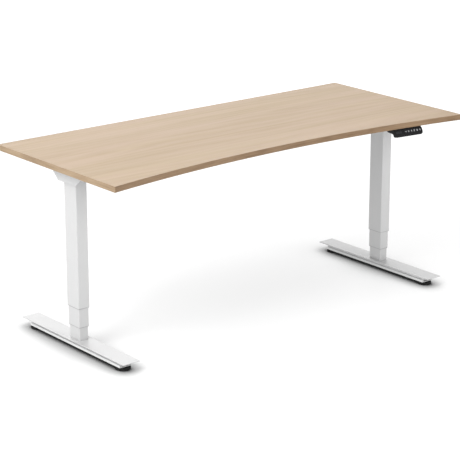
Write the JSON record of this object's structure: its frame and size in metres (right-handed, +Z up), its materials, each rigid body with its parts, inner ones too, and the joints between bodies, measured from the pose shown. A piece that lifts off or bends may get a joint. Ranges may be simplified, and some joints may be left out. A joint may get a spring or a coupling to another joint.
{
  "type": "height adjustable standing desk",
  "caption": "Electric sit-stand desk with a wide wood top, hollow-curved front edge, two telescopic T-legs and an under-edge handset.",
  "frame": {"origin": "on the floor, below the centre of the desktop's bounding rectangle", "axes": "+X along the desk to the user's right, +Y away from the user, +Z up"},
  "size_m": [1.8, 0.8, 0.76],
  "materials": {
    "desktop_wood": "pale oak laminate with fine grain along the length, matt",
    "desktop_edging": "oak-pattern edge band, satin",
    "white_paint": "white powder coat, fine texture",
    "spindle_steel": "plain turned steel",
    "cast_metal": "as cast",
    "gear_brass": "machined",
    "white_plastic": "moulded acetal",
    "black_plastic": "fine textured black",
    "foot_rubber": "moulded black foot",
    "button_plastic": "satin key cap",
    "display_glass": "dark gloss window",
    "circuit_board": "green solder mask"
  },
  "bodies": {
    "base": {"left_foot_plate": "white_paint", "left_foot_channel": "white_paint", "left_inner_tube": "white_paint", "left_base_nut": "white_plastic", "left_foot_bolt_front": "spindle_steel", "left_foot_bolt_rear": "spindle_steel", "right_foot_plate": "white_paint", "right_foot_channel": "white_paint", "right_inner_tube": "white_paint", "right_base_nut": "white_plastic", "right_foot_bolt_front": "spindle_steel", "right_foot_bolt_rear": "spindle_steel"},
    "desk": {"desktop_board": "desktop_wood", "desktop_edge_band": "desktop_edging", "front_crossbar": "white_paint", "rear_crossbar": "white_paint", "control_box_base": "black_plastic", "control_box_cover": "black_plastic", "handset_housing": "black_plastic", "handset_panel": "black_plastic", "handset_display": "display_glass", "handset_circuit_board": "circuit_board", "left_side_arm": "white_paint", "left_outer_tube": "white_paint", "left_outer_glide": "white_plastic", "left_gearbox_housing": "cast_metal", "left_gearbox_lid": "cast_metal", "left_motor_casing": "black_plastic", "right_side_arm": "white_paint", "right_outer_tube": "white_paint", "right_outer_glide": "white_plastic", "right_gearbox_housing": "cast_metal", "right_gearbox_lid": "cast_metal", "right_motor_casing": "black_plastic"},
    "left_middle_stage": {"left_middle_tube": "white_paint", "left_middle_glide": "white_plastic", "left_middle_nut": "white_plastic"},
    "left_hollow_screw": {"left_hollow_spindle": "spindle_steel"},
    "left_drive_screw": {"left_drive_spindle": "spindle_steel", "left_worm_wheel": "gear_brass"},
    "left_motor_shaft": {"left_worm_shaft": "spindle_steel"},
    "left_front_foot": {"left_front_levelling_foot": "foot_rubber"},
    "left_rear_foot": {"left_rear_levelling_foot": "foot_rubber"},
    "right_middle_stage": {"right_middle_tube": "white_paint", "right_middle_glide": "white_plastic", "right_middle_nut": "white_plastic"},
    "right_hollow_screw": {"right_hollow_spindle": "spindle_steel"},
    "right_drive_screw": {"right_drive_spindle": "spindle_steel", "right_worm_wheel": "gear_brass"},
    "right_motor_shaft": {"right_worm_shaft": "spindle_steel"},
    "right_front_foot": {"right_front_levelling_foot": "foot_rubber"},
    "right_rear_foot": {"right_rear_levelling_foot": "foot_rubber"},
    "button_down": {"handset_button_down": "button_plastic"},
    "button_up": {"handset_button_up": "button_plastic"},
    "button_memory_1": {"handset_button_memory_1": "button_plastic"},
    "button_memory_2": {"handset_button_memory_2": "button_plastic"},
    "button_memory_3": {"handset_button_memory_3": "button_plastic"},
    "button_store": {"handset_button_store": "button_plastic"}
  },
  "joints": [
    {"name": "desk_lift", "type": "slide", "parent": "base", "child": "desk", "axis": [0, 0, 1], "range_m": [-0.095, 0.555]},
    {"name": "left_middle_slide", "type": "slide", "parent": "base", "child": "left_middle_stage", "axis": [0, 0, 1], "range_m": [-0.0476, 0.2776]},
    {"name": "left_hollow_turn", "type": "hinge", "parent": "left_middle_stage", "child": "left_hollow_screw", "pos_m": [-0.808, -0.007, 0.34], "axis": [0, 0, 1], "range_deg": [-1711, 9991]},
    {"name": "left_drive_turn", "type": "hinge", "parent": "desk", "child": "left_drive_screw", "pos_m": [-0.808, -0.007, 0.707], "axis": [0, 0, 1], "range_deg": [-1711, 9991]},
    {"name": "left_motor_turn", "type": "hinge", "parent": "desk", "child": "left_motor_shaft", "pos_m": [-0.76, 0.0172, 0.707], "axis": [1, 0, 0], "range_deg": [-41050, 239770]},
    {"name": "left_front_foot_level", "type": "slide", "parent": "base", "child": "left_front_foot", "axis": [0, 0, -1], "range_m": [0, 0.01]},
    {"name": "left_rear_foot_level", "type": "slide", "parent": "base", "child": "left_rear_foot", "axis": [0, 0, -1], "range_m": [0, 0.01]},
    {"name": "right_middle_slide", "type": "slide", "parent": "base", "child": "right_middle_stage", "axis": [0, 0, 1], "range_m": [-0.0476, 0.2776]},
    {"name": "right_hollow_turn", "type": "hinge", "parent": "right_middle_stage", "child": "right_hollow_screw", "pos_m": [0.808, -0.007, 0.34], "axis": [0, 0, 1], "range_deg": [-1711, 9991]},
    {"name": "right_drive_turn", "type": "hinge", "parent": "desk", "child": "right_drive_screw", "pos_m": [0.808, -0.007, 0.707], "axis": [0, 0, 1], "range_deg": [-1711, 9991]},
    {"name": "right_motor_turn", "type": "hinge", "parent": "desk", "child": "right_motor_shaft", "pos_m": [0.76, 0.0172, 0.707], "axis": [1, 0, 0], "range_deg": [-41050, 239770]},
    {"name": "right_front_foot_level", "type": "slide", "parent": "base", "child": "right_front_foot", "axis": [0, 0, -1], "range_m": [0, 0.01]},
    {"name": "right_rear_foot_level", "type": "slide", "parent": "base", "child": "right_rear_foot", "axis": [0, 0, -1], "range_m": [0, 0.01]},
    {"name": "press_down", "type": "slide", "parent": "desk", "child": "button_down", "axis": [0.1066, 0.8594, -0.5], "range_m": [0, 0.0008], "stiffness_N_per_m": 800, "springref_m": -0.001},
    {"name": "press_up", "type": "slide", "parent": "desk", "child": "button_up", "axis": [0.1066, 0.8594, -0.5], "range_m": [0, 0.0008], "stiffness_N_per_m": 800, "springref_m": -0.001},
    {"name": "press_memory_1", "type": "slide", "parent": "desk", "child": "button_memory_1", "axis": [0.1066, 0.8594, -0.5], "range_m": [0, 0.0008], "stiffness_N_per_m": 800, "springref_m": -0.001},
    {"name": "press_memory_2", "type": "slide", "parent": "desk", "child": "button_memory_2", "axis": [0.1066, 0.8594, -0.5], "range_m": [0, 0.0008], "stiffness_N_per_m": 800, "springref_m": -0.001},
    {"name": "press_memory_3", "type": "slide", "parent": "desk", "child": "button_memory_3", "axis": [0.1066, 0.8594, -0.5], "range_m": [0, 0.0008], "stiffness_N_per_m": 800, "springref_m": -0.001},
    {"name": "press_store", "type": "slide", "parent": "desk", "child": "button_store", "axis": [0.1066, 0.8594, -0.5], "range_m": [0, 0.0008], "stiffness_N_per_m": 800, "springref_m": -0.001}
  ],
  "couplings": [
    {"joint": "left_middle_slide", "follows": "desk_lift", "ratio": 0.5},
    {"joint": "left_hollow_turn", "follows": "desk_lift", "rad_per_m": 314.16},
    {"joint": "left_drive_turn", "follows": "desk_lift", "rad_per_m": 314.16},
    {"joint": "left_motor_turn", "follows": "desk_lift", "rad_per_m": 7539.8},
    {"joint": "right_middle_slide", "follows": "desk_lift", "ratio": 0.5},
    {"joint": "right_hollow_turn", "follows": "desk_lift", "rad_per_m": 314.16},
    {"joint": "right_drive_turn", "follows": "desk_lift", "rad_per_m": 314.16},
    {"joint": "right_motor_turn", "follows": "desk_lift", "rad_per_m": 7539.8}
  ]
}
